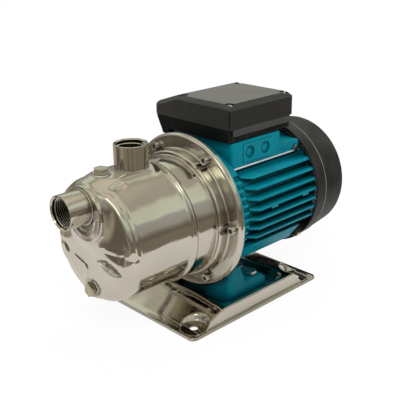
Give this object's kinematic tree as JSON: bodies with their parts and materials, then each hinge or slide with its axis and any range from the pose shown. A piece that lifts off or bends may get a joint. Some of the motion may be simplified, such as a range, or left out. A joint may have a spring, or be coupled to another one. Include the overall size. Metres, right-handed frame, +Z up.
{
  "type": "self-priming jet pump",
  "caption": "Self-priming jet pump: stainless ejector casing with threaded ports, finned fan-cooled motor with terminal box, on a pressed base plate.",
  "frame": {"origin": "centre of the base plate's bolt pattern, on its underside", "axes": "+X along the shaft from the suction end to the fan end, +Y away from the side that the knockouts face, +Z up"},
  "size_m": [0.3873, 0.1882, 0.2443],
  "materials": {
    "stainless": "bright drawn and polished stainless steel",
    "teal_casting": "semi-gloss teal paint over die-cast aluminium",
    "black_plastic": "satin dark grey-black moulded plastic",
    "white_plastic": "plain moulded plastic",
    "seal_rubber": "smooth black rubber",
    "nickel_brass": "pale nickel-plated brass",
    "zinc_steel": "bright zinc-plated steel",
    "seal_carbon": "carbon-graphite seal face",
    "seal_ceramic": "ceramic seal seat",
    "noryl": "glass-filled black plastic",
    "lamination": "stacked electrical steel",
    "copper_winding": "varnished copper wire",
    "bearing_steel": "ground bearing steel",
    "capacitor_can": "drawn aluminium can"
  },
  "bodies": {
    "stand": {"pump_casing": "stainless", "suction_port": "stainless", "discharge_port": "stainless", "seal_plate": "stainless", "filler_plug": "nickel_brass", "drain_plug": "nickel_brass", "filler_washer": "white_plastic", "drain_washer": "white_plastic", "casing_screws": "zinc_steel", "casing_gasket": "seal_rubber", "diffuser": "noryl", "venturi_tube": "noryl", "suction_chamber": "noryl", "ejector_nozzle": "noryl", "seal_stationary": "seal_ceramic", "stator_core": "lamination", "stator_winding": "copper_winding", "front_bearing_outer_ring": "bearing_steel", "rear_bearing_outer_ring": "bearing_steel", "motor_bracket": "teal_casting", "motor_housing": "teal_casting", "rear_shield": "teal_casting", "motor_foot": "teal_casting", "wave_washer": "bearing_steel", "tie_rods": "zinc_steel", "fan_cover": "black_plastic", "fan_cover_screws": "zinc_steel", "terminal_tray": "black_plastic", "terminal_gasket": "seal_rubber", "terminal_lid": "black_plastic", "lid_screws": "zinc_steel", "terminal_block": "noryl", "terminal_studs": "nickel_brass", "capacitor": "capacitor_can", "earth_screw": "zinc_steel", "foot_screws": "zinc_steel", "base_plate": "stainless"},
    "rotor": {"impeller": "noryl", "impeller_nut": "stainless", "seal_rotary": "seal_carbon", "seal_bellows": "stainless", "flinger": "seal_rubber", "shaft": "stainless", "rotor_core": "lamination", "front_bearing_inner_ring": "bearing_steel", "rear_bearing_inner_ring": "bearing_steel", "fan": "white_plastic", "fan_clip": "bearing_steel"},
    "front_balls": {"front_bearing_balls": "bearing_steel"},
    "rear_balls": {"rear_bearing_balls": "bearing_steel"}
  },
  "joints": [
    {"name": "shaft_spin", "type": "hinge", "parent": "stand", "child": "rotor", "pos_m": [0, 0, 0.1143], "axis": [1, 0, 0], "continuous": true},
    {"name": "front_ball_spin", "type": "hinge", "parent": "stand", "child": "front_balls", "pos_m": [-0.027, 0, 0.1143], "axis": [1, 0, 0], "continuous": true},
    {"name": "rear_ball_spin", "type": "hinge", "parent": "stand", "child": "rear_balls", "pos_m": [0.116, 0, 0.1143], "axis": [1, 0, 0], "continuous": true}
  ],
  "couplings": [
    {"joint": "front_ball_spin", "follows": "shaft_spin", "ratio": 0.385},
    {"joint": "rear_ball_spin", "follows": "shaft_spin", "ratio": 0.388}
  ]
}
